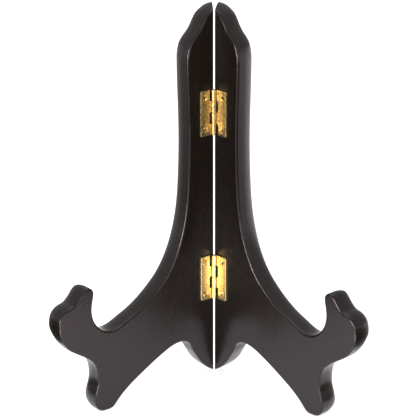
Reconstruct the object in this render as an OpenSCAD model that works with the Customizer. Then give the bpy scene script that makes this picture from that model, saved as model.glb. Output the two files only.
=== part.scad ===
// Folding display stand for a plate, a small canvas or a book: two mirrored scroll-cut boards
// that open like a book on two brass butt hinges and stand on their own four feet.
// +Z is up and -Y faces the viewer. The origin is under the middle of the bounding box.
// Inside the modules a board lies in its own frame, with the hinge pin as the Z axis:
// X runs along the inner face towards the hook, Y runs through the board towards its back.

/* [Boards] */
// Height of each board, mm
board_h = 210; // [150:5:300]
// Thickness of each board, mm
board_t = 12.8; // [11:0.2:16]
// Radius of the arris round the inner face, mm
face_r = 1.2; // [0.6:0.1:2]
// How much of the edge's thickness rounds away towards the back, mm
back_run = 8; // [3:0.5:9]
// How far the back face is drawn in by that rounding, mm
back_r = 2.6; // [1:0.2:2.6]
// Angle between the inner faces with the stand set up, degrees
open_angle = 100; // [70:1:106]
// Gap between the two hinge edges at that angle, mm
edge_gap = 0.85; // [0.4:0.05:1.2]
// Bevel of the hinge edges, measured from the inner face, degrees
bevel_angle = 57; // [50:0.5:60]

/* [Hinges] */
// Length of each hinge, mm
hinge_l = 25; // [20:0.5:32]
// Reach of a leaf from the pin axis, mm
leaf_reach = 8; // [7:0.25:10]
// Thickness of a leaf, mm
leaf_t = 0.7; // [0.6:0.05:1]
// Outside diameter of the knuckles, mm
barrel_d = 2.6; // [2.4:0.1:3.4]
// Diameter of the hinge pin, mm
pin_d = 1; // [0.8:0.1:1.4]
// Corner radius of a leaf, mm
leaf_corner = 1; // [0.5:0.1:3]
// Height of the upper hinge's middle above the table, mm
upper_z = 153; // [120:1:180]
// Height of the lower hinge's middle above the table, mm
lower_z = 60; // [40:1:80]

/* [Screws] */
// Diameter of a screw head, mm
head_d = 3.3; // [2.8:0.1:4]
// How far the domed head stands proud of the leaf, mm
head_dome = 0.3; // [0.1:0.05:0.45]
// Diameter of the screw shank, mm
shank_d = 1.6; // [1.2:0.1:2]
// Length of the screw from the board's face, mm
screw_l = 6.5; // [4:0.5:8]
// Distance between a leaf's two screws, mm
screw_pitch = 18; // [14:0.5:20]
// Distance from the pin axis to the screws, mm
screw_x = 5; // [4:0.1:6]

/* [Hidden] */

lacquer = [0.1, 0.085, 0.075];
brass = [0.83, 0.64, 0.3];
drawn_h = 210;
k = board_h / drawn_h;
half = open_angle / 2;
barrel_r = barrel_d / 2;
running = 0.05;
grip = 0.02;
pitch = hinge_l / 4;
end_play = 0.06;
slot_w = 1;
pilot_r = shank_d / 2 - 0.1;
pilot_spare = 0.5;
pin_recess = 0.2;
sink_gap = 0.05;
tip_l = 1.5;
recess_w = 0.45;
recess_l = 2;
recess_deep = 0.25;
// How far a cutter or a joined piece runs on past the surface it meets.
lap = 1;
// Where the hinge edge of the inner face lies along the board, and how far the pin is from it.
hinge_edge = -(barrel_r * cos(half) - edge_gap / 2) / sin(half);
long_step = 6;
turn_step = 10;
face_steps = 3;
back_steps = 5;
// Where the arch before the rear foot is highest, and the rear foot's share of the rounding.
heel_u = 21.5;
heel_z = 26.5;
heel_share = 0.15;
$fn = 64;

// Points of the flat faces from which the outline is in plain sight: post, root, leg and hook.
hubs = [[6, 150], [12, 50], [66, 28], [88, 52]];
// The scroll outline, clockwise from the top: [along the board, height, heading in degrees,
// hub in sight of the stretch that starts here].
keys = [
    [-14, 210, 0, 0], [-5.5, 210, 0, 0], [2.5, 207, -33, 0], [8, 199.5, -59, 0],
    [11, 196, -43, 0], [15.5, 189.5, -76, 0], [16.5, 183, -90, 0], [15.5, 139, -90, 0],
    [16.5, 110.5, -86, 1], [21, 85.5, -72, 1], [33.5, 63.5, -45, 1], [54, 49, -23, 2],
    [66, 44.7, 0, 2], [75.5, 50, 53, 3], [78.5, 59.5, 91, 3], [77.2, 68.4, 94, 3],
    [80.8, 72, 0, 3], [87, 67, -50, 3], [91, 64, -12, 3], [99, 57, -79, 3],
    [98.8, 49.5, -112, 3], [91, 38.6, -146, 3], [79, 30.3, -138, 2], [75, 18.5, -90, 2],
    [77.3, 8.5, -84, 2], [71.5, 0, -180, 2], [68.5, 0, -180, 2], [64, 2.4, -228, 2],
    [51.5, 12.5, -212, 1], [32, 23.5, -206, 1], [21.5, 26.5, -180, 1], [14, 21.5, -108, 1],
    [9.3, 13.4, -121, 1], [5.1, 8.4, -136, 1], [-0.5, 4.5, -151, 1], [-7.8, 0.5, -160, 1],
    [-14, 0, -180, 0]
];

// A stretch between two keys is a cubic whose handles follow a circular arc.
function place(key) = [key[0], key[1]] * k;
function way(key) = [cos(key[2]), sin(key[2])];
function handle(chord, turn) =
    turn < 2 ? chord / 3 : chord * 2 / 3 * tan(turn / 4) / sin(turn / 2);
function cubic(a, b, c, d, t) =
    a * pow(1 - t, 3) + b * 3 * t * pow(1 - t, 2) + c * 3 * t * t * (1 - t) + d * pow(t, 3);
function steps(chord, turn) = turn < 2 ? 1 : ceil(max(chord / long_step, turn / turn_step));
function stretch(p, q) =
    let (a = place(p), d = place(q), chord = norm(d - a), turn = abs(q[2] - p[2]))
    let (reach = handle(chord, turn), n = steps(chord, turn))
    [for (i = [0 : n - 1]) cubic(a, a + way(p) * reach, d - way(q) * reach, d, i / n)];
last_key = len(keys) - 1;
stretches = [for (i = [0 : last_key - 1]) stretch(keys[i], keys[i + 1])];
outline = [for (s = stretches) each s, place(keys[last_key])];
// The hub of each side of the outline, the hinge edge last.
hub_of = [for (i = [0 : last_key - 1]) each [for (p = stretches[i]) keys[i][3]], keys[last_key][3]];

// The back is rounded less round the rear foot than on the rest of the board.
function fullness(p) =
    p[0] >= heel_u * k ? 1 : heel_share + (1 - heel_share) * min(max(p[1] / k / heel_z, 0), 1);
function unit(v) = norm(v) == 0 ? v : v / norm(v);
function inset(line, by, shared) = [
    for (i = [0 : len(line) - 1])
        let (to = line[i] - line[max(i - 1, 0)], from = line[min(i + 1, len(line) - 1)] - line[i])
        let (v = unit(unit(to) + unit(from)))
        line[i] + by * (shared ? fullness(line[i]) : 1) * [v[1], -v[0]]
];

// The bevel runs back along the board as it goes deeper, and the last stretch is squared off so
// that the back arris has no knife edge.
bevel_run = board_t / tan(bevel_angle);
bevel_flat = 1 / tan(bevel_angle);
function bevel_at(depth) = -min(depth / tan(bevel_angle), bevel_run - bevel_flat);
function meet(a, b, x) = a + (b - a) * (x - a[0]) / (b[0] - a[0]);
function bevelled(line, x) =
    let (kept = [for (i = [0 : len(line) - 1]) if (line[i][0] > x) i])
    let (first = kept[0], last = kept[len(kept) - 1])
    let (top = meet(line[first - 1], line[first], x), bottom = meet(line[last], line[last + 1], x))
    [for (i = [0 : len(line) - 1]) i < first ? top : i > last ? bottom : line[i]];

// Rings through the board's thickness: [depth from the inner face, inset of the outline].
rings = [
    for (i = [0 : face_steps]) let (a = 90 * i / face_steps) face_r * [1 - cos(a), 1 - sin(a)],
    for (i = [0 : back_steps]) let (a = 90 * i / back_steps)
        [board_t - back_run * (1 - sin(a)), back_r * (1 - cos(a))]
];
ring_points = [
    for (r = rings)
        let (line = inset(outline, r[1], r[0] > face_r))
        [for (p = bevelled(line, bevel_at(r[0]))) [p[0], r[0], p[1]]]
];

// Reach of the set-up stand in front of and behind the pin axis.
function ahead(p) = (p[1] + barrel_r) * sin(half) - (p[0] + hinge_edge) * cos(half);
front = min([for (r = ring_points) for (p = r) ahead(p)]);
back = max([for (r = ring_points) for (p = r) ahead(p)]);
pin_y = -(front + back) / 2;

// Triangles of a flat face: each side of the outline with its hub, and one more with both hubs
// where the next side has a new one. The outline starts at point "from", and the hubs at "hub".
function fans(from, hub) =
    let (n = len(outline))
    [for (i = [0 : n - 1])
        let (j = (i + 1) % n, own = hub + hub_of[i], next = hub + hub_of[j])
        each concat([[own, from + i, from + j]], own == next ? [] : [[own, from + j, next]])];
function flip(faces) = [for (f = faces) [f[0], f[2], f[1]]];

module blank() {
    n = len(outline);
    m = len(rings);
    polyhedron(
        points = [
            for (r = ring_points) each r,
            for (depth = [0, board_t], h = hubs) [h[0] * k, depth, h[1] * k]
        ],
        faces = [
            each fans(0, m * n),
            each flip(fans((m - 1) * n, m * n + len(hubs))),
            for (j = [0 : m - 2]) for (i = [0 : n - 1])
                let (a = j * n + i, b = j * n + (i + 1) % n)
                each [[a, a + n, b], [b, a + n, b + n]]
        ]
    );
}

module each_screw() {
    for (z = [upper_z, lower_z], s = [-1, 1])
        translate([screw_x, barrel_r, z + s * screw_pitch / 2])
            rotate([-90, 0, 0])
                children();
}

module board() {
    difference() {
        translate([hinge_edge, barrel_r, 0])
            blank();
        each_screw()
            translate([0, 0, -lap])
                cylinder(r = pilot_r, h = lap + screw_l + pilot_spare);
    }
}

// The leaf's flat outline, with the outer corners rounded.
module leaf_shape() {
    inner = leaf_reach - leaf_corner;
    translate([0, -hinge_l / 2])
        square([inner, hinge_l]);
    translate([inner - lap, leaf_corner - hinge_l / 2])
        square([leaf_corner + lap, hinge_l - 2 * leaf_corner]);
    for (s = [-1, 1])
        translate([inner, s * (hinge_l / 2 - leaf_corner)])
            circle(r = leaf_corner);
}

function knuckle_z(i) = hinge_l / 2 - (i + 0.5) * pitch;

// A 90 degree countersink, a little wider than the screw's head, through a leaf that lies on z = 0.
module countersink() {
    head_r = head_d / 2 + sink_gap;
    translate([0, 0, -sink_gap])
        cylinder(r1 = head_r - leaf_t - sink_gap, r2 = head_r + sink_gap, h = leaf_t + 2 * sink_gap);
}

module leaf(own, other, bore_r) {
    slot = barrel_r + slot_w;
    knuckle_l = pitch - 2 * end_play;
    through = 2 * barrel_r + lap;
    difference() {
        union() {
            translate([0, barrel_r, 0])
                rotate([90, 0, 0])
                    linear_extrude(leaf_t)
                        leaf_shape();
            for (i = own)
                translate([0, 0, knuckle_z(i)])
                    cylinder(r = barrel_r, h = knuckle_l, center = true);
        }
        for (i = other)
            translate([slot / 2 - lap, 0, knuckle_z(i)])
                cube([slot + 2 * lap, through, pitch], center = true);
        for (i = own, s = [-1, 1])
            translate([-lap, 0, knuckle_z(i) + s * pitch / 2])
                cube([2 * barrel_r, through, 2 * end_play], center = true);
        cylinder(r = bore_r, h = hinge_l + 2 * lap, center = true);
        for (s = [-1, 1])
            translate([screw_x, barrel_r, s * screw_pitch / 2])
                rotate([90, 0, 0])
                    countersink();
    }
}

module pin() {
    cylinder(r = pin_d / 2, h = hinge_l - 2 * pin_recess, center = true);
}

// The screw points along +Z, with z = 0 at the board's face.
module screw() {
    head_r = head_d / 2;
    cap_r = (head_r * head_r + head_dome * head_dome) / (2 * head_dome);
    tip_r = 0.1;
    shank_l = screw_l - tip_l;
    // The shank starts inside the head, whose underside is as wide at the leaf's back.
    neck = 0.2;
    difference() {
        union() {
            intersection() {
                translate([0, 0, cap_r - leaf_t - head_dome])
                    sphere(r = cap_r);
                translate([0, 0, -leaf_t - head_dome])
                    cylinder(r = head_r, h = head_dome);
            }
            translate([0, 0, -leaf_t])
                cylinder(r1 = head_r, r2 = head_r - leaf_t, h = leaf_t);
            translate([0, 0, -neck])
                cylinder(r = shank_d / 2, h = shank_l + neck);
            translate([0, 0, shank_l])
                cylinder(r1 = shank_d / 2, r2 = tip_r, h = tip_l);
        }
        for (a = [45, 135])
            rotate([0, 0, a])
                translate([0, 0, -leaf_t - head_dome])
                    cube([recess_l, recess_w, 2 * (head_dome + recess_deep)], center = true);
    }
}

// The right half stands at half the open angle from the YZ plane; the left half mirrors it.
module right_half() {
    translate([0, pin_y, 0])
        rotate([0, 0, half - 90])
            children();
}

module left_half() {
    mirror([1, 0, 0])
        right_half()
            children();
}

module fastened(z, s) {
    translate([screw_x, barrel_r, z + s * screw_pitch / 2])
        rotate([-90, 0, 0])
            screw();
}

module left_board() color(lacquer) left_half() board();
module right_board() color(lacquer) right_half() board();

module left_leaf(z) {
    color(brass)
        left_half()
            translate([0, 0, z])
                leaf([1, 3], [0, 2], pin_d / 2 - grip);
}

module right_leaf(z) {
    color(brass)
        right_half()
            translate([0, 0, z])
                leaf([0, 2], [1, 3], pin_d / 2 + running);
}

module hinge_pin(z) {
    color(brass)
        translate([0, pin_y, z])
            pin();
}

module upper_left_leaf() left_leaf(upper_z);
module upper_right_leaf() right_leaf(upper_z);
module upper_pin() hinge_pin(upper_z);
module lower_left_leaf() left_leaf(lower_z);
module lower_right_leaf() right_leaf(lower_z);
module lower_pin() hinge_pin(lower_z);

module upper_left_screw_top() color(brass) left_half() fastened(upper_z, 1);
module upper_left_screw_bottom() color(brass) left_half() fastened(upper_z, -1);
module upper_right_screw_top() color(brass) right_half() fastened(upper_z, 1);
module upper_right_screw_bottom() color(brass) right_half() fastened(upper_z, -1);
module lower_left_screw_top() color(brass) left_half() fastened(lower_z, 1);
module lower_left_screw_bottom() color(brass) left_half() fastened(lower_z, -1);
module lower_right_screw_top() color(brass) right_half() fastened(lower_z, 1);
module lower_right_screw_bottom() color(brass) right_half() fastened(lower_z, -1);

left_board();
right_board();
upper_left_leaf();
upper_right_leaf();
upper_pin();
lower_left_leaf();
lower_right_leaf();
lower_pin();
upper_left_screw_top();
upper_left_screw_bottom();
upper_right_screw_top();
upper_right_screw_bottom();
lower_left_screw_top();
lower_left_screw_bottom();
lower_right_screw_top();
lower_right_screw_bottom();
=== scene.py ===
import math

import bmesh
import bpy
from mathutils import Matrix, Vector


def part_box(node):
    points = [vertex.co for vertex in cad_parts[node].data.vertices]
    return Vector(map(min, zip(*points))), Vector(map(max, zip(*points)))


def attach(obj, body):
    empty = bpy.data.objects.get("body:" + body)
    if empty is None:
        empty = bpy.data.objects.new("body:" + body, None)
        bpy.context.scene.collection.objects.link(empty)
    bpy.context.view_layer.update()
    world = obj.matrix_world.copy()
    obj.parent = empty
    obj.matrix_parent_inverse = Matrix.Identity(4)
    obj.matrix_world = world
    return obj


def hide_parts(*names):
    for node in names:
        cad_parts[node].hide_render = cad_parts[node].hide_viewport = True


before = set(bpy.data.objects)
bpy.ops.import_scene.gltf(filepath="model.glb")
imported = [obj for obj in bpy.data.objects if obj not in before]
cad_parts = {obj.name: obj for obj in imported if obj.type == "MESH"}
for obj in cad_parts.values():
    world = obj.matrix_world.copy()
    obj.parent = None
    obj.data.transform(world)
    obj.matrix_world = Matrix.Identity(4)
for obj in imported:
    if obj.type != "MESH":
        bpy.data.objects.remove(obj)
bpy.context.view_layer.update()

MM = 0.001

# ---------------------------------------------------------------- the stand's measures, mm
# A board's own frame has the hinge pin as its Z axis: X runs along the inner face towards the
# hook, Y runs through the board towards its back.
HALF_OPENING = math.radians(50)
BARREL_R = 1.3
EDGE_GAP = 0.85
BOARD_T = 12.8
FRONT_R = 1.2
BACK_RUN, BACK_R = 8.0, 2.6
BOARD_EASE = 0.22

# The arch before the rear foot, and the rear foot's share of the back's rounding.
HEEL_U, HEEL_Z, HEEL_SHARE = 21.5, 26.5, 0.15

# The hinge edge is bevelled, all but the last of the board's thickness.
BEVEL = math.radians(57)
SQUARE_T = 1.0
HINGE_EDGE = (EDGE_GAP / 2 - BARREL_R * math.cos(HALF_OPENING)) / math.sin(HALF_OPENING)

# Each hinge has four knuckles, counted from the top.
HINGE_L = 25.0
KNUCKLES = {"right": (0, 2), "left": (1, 3)}
KNUCKLE_COUNT = 4
KNUCKLE_L = HINGE_L / KNUCKLE_COUNT
LEAF_REACH = 8.0
LEAF_T = 0.7
LEAF_CORNER = 1.0
LEAF_EASE = 0.24
SLOT_W = 1.0
END_PLAY = 0.06

# A knuckle is rolled from 90 to 370 degrees round the pin, and spirals in over the first 60, so
# that it stays clear of the other half.
ROLL_FROM, ROLL_TO, ROLL_STEP = 90, 370, 10
ROLL_IN, ROLL_IN_OVER = 0.035, 60

SCREW_X = 5.0
SCREW_PITCH = 18.0
HEAD_R = 1.65
HEAD_DOME = 0.3
HEAD_EASE = 0.04
SHANK_R = 0.8
SCREW_L = 6.5
THREAD_START, THREAD_PITCH = -0.9, 0.62
THREAD_ROOT_R = SHANK_R * 0.72
CREST_DROP, GROOVE_DROP = 0.28, 0.4
TAPER_L, THREADLESS_L = 1.5, 1.9

# The countersink's play round the head, and how far its cutter runs past the sheet.
SINK_PLAY = 0.06
SINK_BELOW, SINK_ABOVE = 0.1, 0.2

# One slot of the cross recess: its length, its width and its height from the top of the head.
RECESS_FLOOR = (1.1, 0.22, -0.55)
RECESS_MOUTH = (2.1, 0.5, 0.1)

PIN = (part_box("upper_pin")[0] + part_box("upper_pin")[1]) / 2
LEVELS = {
    level: (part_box(level + "_pin")[0].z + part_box(level + "_pin")[1].z) / 2
    for level in ("upper", "lower")
}
SIDES = {"left": -1, "right": 1}

# ---------------------------------------------------------------- camera
AIM = Vector((0, PIN.y + 0.00134, 0.1044))
CAMERA_BACK = 1.3974
CAMERA_AZ, CAMERA_EL = 0.0556, 0.3552
LENS, SENSOR = 227.56, 36
SHIFT_X, SHIFT_Y = -0.01457, -0.02358


def make_camera():
    data = bpy.data.cameras.new("camera")
    camera = bpy.data.objects.new("camera", data)
    bpy.context.scene.collection.objects.link(camera)
    back = Vector(
        (
            math.sin(CAMERA_AZ) * math.cos(CAMERA_EL),
            -math.cos(CAMERA_AZ) * math.cos(CAMERA_EL),
            math.sin(CAMERA_EL),
        )
    )
    camera.location = AIM + back * CAMERA_BACK
    camera.rotation_mode = "QUATERNION"
    camera.rotation_quaternion = (-back).to_track_quat("-Z", "Y")
    data.lens, data.sensor_width = LENS, SENSOR
    data.shift_x, data.shift_y = SHIFT_X, SHIFT_Y
    data.clip_start, data.clip_end = 0.05, 50
    bpy.context.scene.camera = camera


make_camera()


# ---------------------------------------------------------------- mesh helpers
def board_frame(side, z=0.0):
    """Places a piece built in a board's own frame. The left half is built with X reversed."""
    turn = Matrix.Rotation(-side * (math.pi / 2 - HALF_OPENING), 4, "Z")
    return Matrix.Translation((0, PIN.y, z)) @ turn


def new_object(name, mesh, side=1, z=0.0):
    o = bpy.data.objects.new(name, mesh)
    bpy.context.scene.collection.objects.link(o)
    o.matrix_world = board_frame(side, z)
    return o


def mesh_from(bm, name, side=1):
    """Scales to metres, mirrors for the left half, and shades smooth."""
    bmesh.ops.remove_doubles(bm, verts=bm.verts, dist=1e-4)
    bmesh.ops.dissolve_degenerate(bm, edges=bm.edges, dist=1e-4)
    for v in bm.verts:
        v.co = Vector((side * v.co.x, v.co.y, v.co.z)) * MM
    bmesh.ops.recalc_face_normals(bm, faces=bm.faces)
    for f in bm.faces:
        f.smooth = True
    mesh = bpy.data.meshes.new(name)
    bm.to_mesh(mesh)
    bm.free()
    return mesh


def cut_with(o, name, bm, place):
    """Lets bm cut o, at a place in the frame of o. settle applies it."""
    c = new_object(name, mesh_from(bm, name))
    c.matrix_world = o.matrix_world @ place
    m = o.modifiers.new(name, "BOOLEAN")
    m.operation, m.solver, m.object = "DIFFERENCE", "EXACT", c
    return c


def settle(o, cutters):
    """Applies the modifiers of o, removes the objects that cut it, and shades it smooth."""
    bpy.context.view_layer.update()
    dg = bpy.context.evaluated_depsgraph_get()
    mesh = bpy.data.meshes.new_from_object(o.evaluated_get(dg))
    o.modifiers.clear()
    o.data = mesh
    for c in cutters:
        bpy.data.objects.remove(c)
    for p in o.data.polygons:
        p.use_smooth = True


def soften(o, width, angle):
    """Rounds the edges of o that turn by more than an angle in degrees."""
    m = o.modifiers.new("rounded", "BEVEL")
    m.width, m.segments, m.limit_method = width * MM, 2, "ANGLE"
    m.angle_limit = math.radians(angle)
    w = o.modifiers.new("even_shading", "WEIGHTED_NORMAL")
    w.weight, w.keep_sharp = 80, True


def revolve(profile, steps=48):
    """A closed bmesh from (radius, z) points, the first and last on the axis."""
    bm = bmesh.new()
    rows = []
    for r, z in profile:
        if r < 1e-6:
            rows.append([bm.verts.new((0, 0, z))])
        else:
            rows.append(
                [
                    bm.verts.new((r * math.cos(a), r * math.sin(a), z))
                    for a in (math.tau * i / steps for i in range(steps))
                ]
            )
    for p, q in zip(rows, rows[1:]):
        for i in range(steps):
            j = (i + 1) % steps
            ring = [p[i % len(p)], p[j % len(p)], q[j % len(q)], q[i % len(q)]]
            bm.faces.new(list(dict.fromkeys(ring)))
    return bm


# ---------------------------------------------------------------- the scroll outline
# [along the board, height, heading in degrees], clockwise from the top, as in the CAD source.
KEYS = [
    (-14, 210, 0), (-5.5, 210, 0), (2.5, 207, -33), (8, 199.5, -59),
    (11, 196, -43), (15.5, 189.5, -76), (16.5, 183, -90), (15.5, 139, -90),
    (16.5, 110.5, -86), (21, 85.5, -72), (33.5, 63.5, -45), (54, 49, -23),
    (66, 44.7, 0), (75.5, 50, 53), (78.5, 59.5, 91), (77.2, 68.4, 94),
    (80.8, 72, 0), (87, 67, -50), (91, 64, -12), (99, 57, -79),
    (98.8, 49.5, -112), (91, 38.6, -146), (79, 30.3, -138), (75, 18.5, -90),
    (77.3, 8.5, -84), (71.5, 0, -180), (68.5, 0, -180), (64, 2.4, -228),
    (51.5, 12.5, -212), (32, 23.5, -206), (21.5, 26.5, -180), (14, 21.5, -108),
    (9.3, 13.4, -121), (5.1, 8.4, -136), (-0.5, 4.5, -151),
    (-7.8, 0.5, -160), (-14, 0, -180),
]

# The most that one step of the outline runs, in mm, and turns, in degrees; a stretch that turns
# less than NEARLY_STRAIGHT is drawn as a line.
LONG_STEP, TURN_STEP = 1.6, 3.0
NEARLY_STRAIGHT = 2

# Steps in each rounding through the board, and how worn the back's is beside the front's.
FRONT_STEPS, BACK_STEPS = 8, 16
BACK_WEAR = 0.4


def heading(degrees):
    return Vector((math.cos(math.radians(degrees)), math.sin(math.radians(degrees))))


def stretch(p, q):
    """Points on a cubic from one key up to the next, which keeps close to an arc."""
    a, d = Vector(p[:2]), Vector(q[:2])
    chord, turn = (d - a).length, abs(q[2] - p[2])
    t = math.radians(turn)
    arc_reach = chord * 2 / 3 * math.tan(t / 4) / math.sin(t / 2) if turn else 0
    reach = chord / 3 if turn < NEARLY_STRAIGHT else arc_reach
    b, c = a + heading(p[2]) * reach, d - heading(q[2]) * reach
    n = math.ceil(max(chord / LONG_STEP, turn / TURN_STEP))
    return [
        a * (1 - s) ** 3 + b * 3 * s * (1 - s) ** 2 + c * 3 * s * s * (1 - s) + d * s**3
        for s in (i / n for i in range(n))
    ]


OUTLINE = [v for p, q in zip(KEYS, KEYS[1:]) for v in stretch(p, q)] + [Vector(KEYS[-1][:2])]


def inset(line, by, shared):
    """The outline drawn in; the back's rounding is slighter round the rear foot."""
    out = []
    for i, p in enumerate(line):
        to, on = p - line[max(i - 1, 0)], line[min(i + 1, len(line) - 1)] - p
        v = (to.normalized() + on.normalized()).normalized()
        share = 1.0
        if shared and p.x < HEEL_U:
            share = HEEL_SHARE + (1 - HEEL_SHARE) * min(max(p.y / HEEL_Z, 0), 1)
        out.append(p + Vector((v.y, -v.x)) * by * share)
    return out


def bevel_at(depth):
    """Where the bevel cuts the hinge edge at a depth, along the board."""
    return -min(depth, BOARD_T - SQUARE_T) * (1 / math.tan(BEVEL))


def trimmed(line, x):
    """The outline cut off at x, with as many points as before."""
    kept = [i for i, p in enumerate(line) if p.x > x]
    first, last = kept[0], kept[-1]

    def meet(a, b):
        return a + (b - a) * ((x - a.x) / (b.x - a.x))

    top, bottom = meet(line[first - 1], line[first]), meet(line[last], line[last + 1])
    return [top if i < first else bottom if i > last else p for i, p in enumerate(line)]


def rings():
    """(depth, inset, how much of an arris) through the board's thickness."""

    def rounded(run, r, steps):
        arc = [math.pi / 2 * i / steps for i in range(steps + 1)]
        return [(run * (1 - math.cos(a)), r * (1 - math.sin(a)), math.sin(2 * a)) for a in arc]

    arc = reversed(rounded(BACK_RUN, BACK_R, BACK_STEPS))
    back = [(BOARD_T - d, i, w * BACK_WEAR) for d, i, w in arc]
    return rounded(FRONT_R, FRONT_R, FRONT_STEPS) + back


def make_board(side_name):
    """The outline lofted through its rings, with how worn each point is kept as an attribute."""
    side = SIDES[side_name]
    bm = bmesh.new()
    wear = bm.verts.layers.float.new("wear")
    rows = []
    for depth, by, arris in rings():
        row = []
        for p in trimmed(inset(OUTLINE, by, depth > FRONT_R), bevel_at(depth)):
            v = bm.verts.new((p.x + HINGE_EDGE, depth + BARREL_R, p.y))
            v[wear] = arris
            row.append(v)
        rows.append(row)
    n = len(rows[0])
    bm.faces.new(rows[0])
    bm.faces.new(list(reversed(rows[-1])))
    for p, q in zip(rows, rows[1:]):
        for i in range(n):
            j = (i + 1) % n
            bm.faces.new((p[i], q[i], q[j], p[j]))
    name = side_name + "_lacquered_board"
    o = new_object(name, mesh_from(bm, name, side), side)
    # The sawn edges along the hinge are only just eased.
    soften(o, BOARD_EASE, 28)
    return o


# ---------------------------------------------------------------- hinges
def knuckle_z(i):
    """A knuckle's middle."""
    return HINGE_L / 2 - (i + 0.5) * KNUCKLE_L


def make_leaf(level, side_name):
    """One sheet: a plate with rounded outer corners, and tongues rolled round the pin."""
    side = SIDES[side_name]
    own = KNUCKLES[side_name]
    bm = bmesh.new()
    root = BARREL_R + SLOT_W
    half_l, half_k = HINGE_L / 2, KNUCKLE_L / 2 - END_PLAY
    steps = 8
    corner = []
    for s in (1, -1):
        arc = [math.radians(90 - 90 * i / steps) for i in range(steps + 1)]
        pts = [
            (
                LEAF_REACH - LEAF_CORNER + LEAF_CORNER * math.cos(a),
                s * (half_l - LEAF_CORNER + LEAF_CORNER * math.sin(a)),
            )
            for a in arc
        ]
        corner += pts if s == 1 else pts[::-1]
    edge = []
    for i in sorted(own, reverse=True):
        edge += [(root, knuckle_z(i) - half_k), (root, knuckle_z(i) + half_k)]
    # The plate runs on past its own knuckles where the other leaf has the end one.
    loop = corner + [(root, -half_l)] * (own[-1] != KNUCKLE_COUNT - 1) + edge
    loop += [(root, half_l)] * (own[0] != 0)
    verts = {}
    plate = []
    for x, z in loop:
        v = bm.verts.new((x, BARREL_R, z))
        verts[(x, z)] = v
        plate.append(v)
    bm.faces.new(plate)
    roll = [(0.0, BARREL_R)]
    for a in range(ROLL_FROM + ROLL_STEP, ROLL_TO + 1, ROLL_STEP):
        r = BARREL_R - ROLL_IN * min((a - ROLL_FROM) / ROLL_IN_OVER, 1)
        roll.append((r * math.cos(math.radians(a)), r * math.sin(math.radians(a))))
    for i in own:
        low, high = verts[(root, knuckle_z(i) - half_k)], verts[(root, knuckle_z(i) + half_k)]
        for x, y in roll:
            a, b = bm.verts.new((x, y, low.co.z)), bm.verts.new((x, y, high.co.z))
            bm.faces.new((low, high, b, a))
            low, high = a, b
    name = f"{level}_{side_name}_brass_leaf"
    bmesh.ops.recalc_face_normals(bm, faces=bm.faces)
    plate_face = max(bm.faces, key=lambda f: f.calc_area())
    if plate_face.normal.y < 0:
        bmesh.ops.reverse_faces(bm, faces=bm.faces)
    for v in bm.verts:
        v.co = Vector((side * v.co.x, v.co.y, v.co.z)) * MM
    if side < 0:
        bmesh.ops.reverse_faces(bm, faces=bm.faces)
    mesh = bpy.data.meshes.new(name)
    bm.to_mesh(mesh)
    bm.free()
    o = new_object(name, mesh, side, LEVELS[level])
    thick = o.modifiers.new("sheet", "SOLIDIFY")
    thick.thickness, thick.offset, thick.use_even_offset = LEAF_T * MM, -1, True
    top, low, high = HEAD_R + SINK_PLAY, -SINK_BELOW, LEAF_T + SINK_ABOVE
    cone = [(0, low), (top - LEAF_T + low, low), (top + SINK_ABOVE, high), (0, high)]
    settle(o, [cut_with(o, "countersink", revolve(cone), screw_place(side, s)) for s in (1, -1)])
    soften(o, LEAF_EASE, 35)
    return o


def screw_place(side, s):
    """From a screw's own frame, +Z out of the board, to the hinge's."""
    return (
        Matrix.Translation(Vector((side * SCREW_X, BARREL_R, s * SCREW_PITCH / 2)) * MM)
        @ Matrix.Rotation(math.radians(90), 4, "X")
    )


def make_screw(level, side_name, end, turn):
    """A countersunk wood screw, its cross turned by an angle in degrees."""
    side, s = SIDES[side_name], 1 if end == "top" else -1
    cap_r = (HEAD_R**2 + HEAD_DOME**2) / (2 * HEAD_DOME)
    top = LEAF_T + HEAD_DOME
    dome = [
        (HEAD_R * t, top - cap_r + math.sqrt(cap_r**2 - (HEAD_R * t) ** 2))
        for t in (0, 0.2, 0.4, 0.6, 0.75, 0.88, 0.96)
    ]
    rim_r = HEAD_R * 0.993
    rim = [(rim_r, LEAF_T + 0.035), (rim_r, LEAF_T - 0.02)]
    thread = []
    z = THREAD_START
    while z > -SCREW_L + THREADLESS_L:
        thread += [
            (THREAD_ROOT_R, z), (SHANK_R, z - CREST_DROP), (THREAD_ROOT_R, z - GROOVE_DROP),
        ]
        z -= THREAD_PITCH
    profile = dome + rim + [(SHANK_R, LEAF_T - HEAD_R + SHANK_R), (SHANK_R, -0.5)] + thread
    profile += [(SHANK_R * 0.7, -SCREW_L + TAPER_L), (0.08, -SCREW_L + 0.05), (0, -SCREW_L)]
    name = f"{level}_{side_name}_screw_{end}_head"
    o = new_object(name, mesh_from(revolve(profile), name), side, LEVELS[level])
    o.matrix_world = o.matrix_world @ screw_place(side, s)
    cutters = []
    for a in (turn, turn + 90):
        bm = bmesh.new()
        bmesh.ops.create_cube(bm, size=1)
        for v in bm.verts:
            long, wide, up = RECESS_FLOOR if v.co.z < 0 else RECESS_MOUTH
            v.co = Vector((v.co.x * long, v.co.y * wide, top + up))
        cutters.append(cut_with(o, "recess", bm, Matrix.Rotation(math.radians(a), 4, "Z")))
    settle(o, cutters)
    soften(o, HEAD_EASE, 30)
    return o


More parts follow.
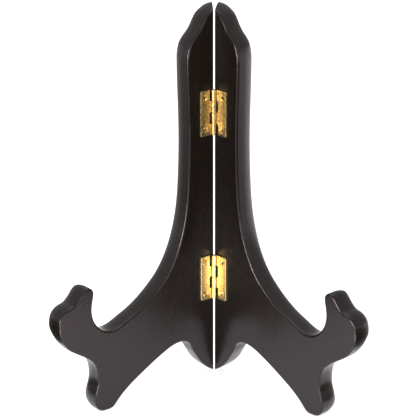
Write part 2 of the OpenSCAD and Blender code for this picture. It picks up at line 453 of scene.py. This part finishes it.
# ---------------------------------------------------------------- materials
class Shader:
    """A short way to write a node tree."""

    def __init__(self, name):
        self.material = bpy.data.materials.new(name)
        self.material.use_nodes = True
        self.tree = self.material.node_tree
        self.tree.nodes.clear()

    def add(self, kind, inputs=(), **props):
        node = self.tree.nodes.new("ShaderNode" + kind)
        for key, value in props.items():
            setattr(node, key, value)
        for key, value in dict(inputs).items():
            socket = node.inputs[key]
            if isinstance(value, bpy.types.NodeSocket):
                self.tree.links.new(value, socket)
            else:
                socket.default_value = value
        return node

    def coords(self, scale):
        where = self.add("TexCoord").outputs["Object"]
        return self.add("Mapping", {"Vector": where, "Scale": scale}).outputs["Vector"]

    def noise(self, scale, size, detail=3.0, roughness=0.55, distortion=0.0):
        return self.add(
            "TexNoise",
            {
                "Vector": self.coords(scale),
                "Scale": size,
                "Detail": detail,
                "Roughness": roughness,
                "Distortion": distortion,
            },
        ).outputs["Fac"]

    def ramp(self, fac, low, high, out_low=0.0, out_high=1.0):
        return self.add(
            "MapRange",
            {
                "Value": fac,
                "From Min": low,
                "From Max": high,
                "To Min": out_low,
                "To Max": out_high,
            },
            clamp=True,
        ).outputs["Result"]

    def mix(self, fac, a, b):
        """Mixes two colours, whose sockets on the node are 6, 7 and, going out, 2."""
        node = self.add("Mix", data_type="RGBA")
        for key, value in ((0, fac), (6, a), (7, b)):
            if isinstance(value, bpy.types.NodeSocket):
                self.tree.links.new(value, node.inputs[key])
            else:
                node.inputs[key].default_value = value
        return node.outputs[2]

    def math(self, operation, a, b):
        return self.add("Math", {0: a, 1: b}, operation=operation).outputs[0]

    def bump(self, height, strength, depth):
        """A normal from a height; depth is in mm."""
        inputs = {"Height": height, "Strength": strength, "Distance": depth * MM}
        return self.add("Bump", inputs).outputs["Normal"]

    def finish(self, surface):
        self.add("OutputMaterial", {"Surface": surface})
        return self.material


def lacquer():
    """Satin black-brown lacquer over close-grained wood."""
    s = Shader("black_lacquer_satin")
    fibre = s.noise((1, 1, 0.05), 1500, 5, 0.62, 0.3)
    pores = s.ramp(s.noise((1, 1, 0.09), 2600, 2, 0.5), 0.60, 0.70)
    figure = s.noise((1, 1, 0.12), 60, 3, 0.5, 0.8)
    cross = s.noise((1, 0.06, 1), 1100, 3, 0.6)
    cloud = s.noise((1, 1, 1), 35, 3)
    wear = s.add("Attribute", attribute_name="wear").outputs["Fac"]
    rubbed = s.math("MULTIPLY", wear, s.ramp(s.noise((1, 1, 0.5), 420, 4, 0.65), 0.5, 0.72))
    dark, light = (0.0078, 0.0053, 0.0026, 1), (0.0112, 0.0078, 0.0040, 1)
    base = s.mix(s.ramp(figure, 0.35, 0.7), dark, light)
    fibres = s.math("MULTIPLY", s.ramp(fibre, 0.45, 0.75), 0.5)
    base = s.mix(fibres, base, (0.017, 0.0125, 0.0098, 1))
    base = s.mix(s.math("MULTIPLY", pores, 0.6), base, (0.003, 0.0022, 0.0018, 1))
    base = s.mix(s.math("MULTIPLY", rubbed, 0.35), base, (0.045, 0.03, 0.02, 1))
    rough = s.ramp(cloud, 0.3, 0.7, 0.19, 0.25)
    rough = s.math("ADD", rough, s.math("MULTIPLY", fibre, 0.08))
    rough = s.math("SUBTRACT", rough, s.math("MULTIPLY", rubbed, 0.08))
    height = s.math("ADD", s.math("MULTIPLY", fibre, 0.55), s.math("MULTIPLY", cross, 0.5))
    height = s.math("SUBTRACT", height, s.math("MULTIPLY", pores, 0.8))
    bump = s.bump(height, 0.55, 0.04)
    shader = s.add(
        "BsdfPrincipled",
        {
            "Base Color": base,
            "Roughness": rough,
            "IOR": 1.47,
            "Specular Tint": (1.0, 0.86, 0.97, 1),
            "Normal": bump,
        },
    )
    return s.finish(shader.outputs[0])


def brass(name, colour, dark, low, high):
    """Brass with drawn lines, small scratches and a trace of tarnish; roughness low to high."""
    s = Shader(name)
    lines = s.noise((1, 1, 0.03), 5200, 3, 0.6)
    blotch = s.noise((1, 1, 1), 420, 4, 0.6)
    scratch = s.ramp(s.noise((0.12, 1, 1), 3600, 2, 0.4, 0.6), 0.64, 0.72)
    tint = s.mix(s.ramp(blotch, 0.42, 0.75), colour, dark)
    rough = s.ramp(blotch, 0.3, 0.75, low, high)
    rough = s.math("ADD", rough, s.math("MULTIPLY", scratch, 0.08))
    height = s.math("SUBTRACT", s.math("MULTIPLY", lines, 0.5), s.math("MULTIPLY", scratch, 0.4))
    bump = s.bump(height, 0.07, 0.01)
    shader = s.add(
        "BsdfPrincipled",
        {"Base Color": tint, "Metallic": 1.0, "Roughness": rough, "Normal": bump},
    )
    return s.finish(shader.outputs[0])


def dress(o, material):
    o.data.materials.clear()
    o.data.materials.append(material)


# ---------------------------------------------------------------- the stand
LACQUER = lacquer()
LEAF_BRASS = brass("hinge_brass_sheet", (0.95, 0.71, 0.33, 1), (0.90, 0.63, 0.24, 1), 0.25, 0.31)
PIN_BRASS = brass("pin_brass_wire", (0.85, 0.62, 0.27, 1), (0.7, 0.48, 0.2, 1), 0.18, 0.3)
SCREW_BRASS = brass("screw_brass_head", (0.95, 0.7, 0.3, 1), (0.86, 0.56, 0.2, 1), 0.1, 0.2)

# How each screw's cross is turned, in degrees: left top, left bottom, right top, right bottom.
CROSS_TURNS = {"upper": (38, 52, 45, 60), "lower": (47, 33, 56, 41)}

for side_name in SIDES:
    body = side_name + "_half"
    board = make_board(side_name)
    dress(board, LACQUER)
    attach(board, body)
    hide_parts(side_name + "_board")
    for level in LEVELS:
        leaf = make_leaf(level, side_name)
        dress(leaf, LEAF_BRASS)
        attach(leaf, body)
        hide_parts(f"{level}_{side_name}_leaf")
        for end in ("top", "bottom"):
            turn = CROSS_TURNS[level][2 * (side_name == "right") + (end == "bottom")]
            screw = make_screw(level, side_name, end, turn)
            dress(screw, SCREW_BRASS)
            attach(screw, body)
            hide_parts(f"{level}_{side_name}_screw_{end}")

for level in LEVELS:
    dress(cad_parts[level + "_pin"], PIN_BRASS)


# ---------------------------------------------------------------- floor and light
def plane(name, x0, x1, y0, y1, z):
    bm = bmesh.new()
    bm.faces.new([bm.verts.new(p) for p in ((x0, y0, z), (x1, y0, z), (x1, y1, z), (x0, y1, z))])
    mesh = bpy.data.meshes.new(name)
    bm.to_mesh(mesh)
    bm.free()
    o = bpy.data.objects.new(name, mesh)
    bpy.context.scene.collection.objects.link(o)
    return o


def plain(name, colour, glow):
    s = Shader(name)
    shader = s.add(
        "BsdfPrincipled",
        {
            "Base Color": colour,
            "Roughness": 0.7,
            "Emission Color": (1, 1, 1, 1),
            "Emission Strength": glow,
        },
    )
    return s.finish(shader.outputs[0])


floor = plane("floor", -6, 6, -6, 6, 0)
dress(floor, plain("floor_white", (0.85, 0.85, 0.85, 1), 0.75))


def card_look(name, near, far, low, high):
    """A glow that goes from low at the card's Y near to high at its Y far."""
    s = Shader(name)
    where = s.add("SeparateXYZ", {"Vector": s.add("TexCoord").outputs["Object"]}).outputs["Y"]
    glow = s.add("Emission", {"Strength": s.ramp(where, near, far, low, high)})
    return s.finish(glow.outputs[0])


def show_in_reflections_only(o):
    """Leaves o visible only to glossy rays."""
    o.visible_camera = o.visible_diffuse = o.visible_shadow = False
    o.visible_transmission = o.visible_volume_scatter = False


# Cards just over the floor, seen only in reflections, as a photographer flags a glossy object:
# beside the stand two that brighten towards the back, and in front one that is white near the
# stand and darkens away from it, with a dim one beyond.
CARD_Z = 0.0004
for side, x0, x1, y0, y1, near, far, low, high in (
    ("left", -3, -0.105, -3, 3, -0.02, 0.3, 0, 0.75),
    ("right", 0.105, 3, -3, 3, -0.02, 0.2, 0, 1.8),
    ("front", -0.105, 0.105, -0.36, -0.112, -0.235, -0.15, 0.28, 7.0),
    ("far", -0.105, 0.105, -3, -0.36, -3, -0.36, 0.22, 0.28),
):
    card = plane("card_" + side, x0, x1, y0, y1, CARD_Z)
    dress(card, card_look("card_" + side, near, far, low, high))
    show_in_reflections_only(card)


LIGHT_AIM = Vector((0, 0, 0.1))


def softbox(name, where, size, power):
    data = bpy.data.lights.new(name, "AREA")
    data.shape, data.size, data.size_y, data.energy = "RECTANGLE", size[0], size[1], power
    o = bpy.data.objects.new(name, data)
    bpy.context.scene.collection.objects.link(o)
    o.location = where
    o.rotation_euler = (Vector(where) - LIGHT_AIM).to_track_quat("Z", "Y").to_euler()
    return o


softbox("softbox_left", (-0.42, -1.15, 0.38), (0.22, 0.6), 2.6)
softbox("softbox_right", (0.5, -1.15, 0.38), (0.12, 0.6), 1.0)
softbox("softbox_top", (0, 0.3, 1.8), (1.4, 1.0), 10)
for name, x, power in (("strip_left", -0.4, 5.0), ("strip_right", 0.4, 0.5)):
    strip = softbox(name, (x, -0.55, 0.07), (0.13, 0.3), power)
    strip.visible_diffuse = False

WORLD_STRENGTH = 0.55
world = bpy.data.worlds.new("studio")
bpy.context.scene.world = world
world.use_nodes = True
sky = world.node_tree.nodes["Background"].inputs
sky["Color"].default_value = (1, 1, 1, 1)
sky["Strength"].default_value = WORLD_STRENGTH
bpy.context.scene.view_settings.view_transform = "Standard"
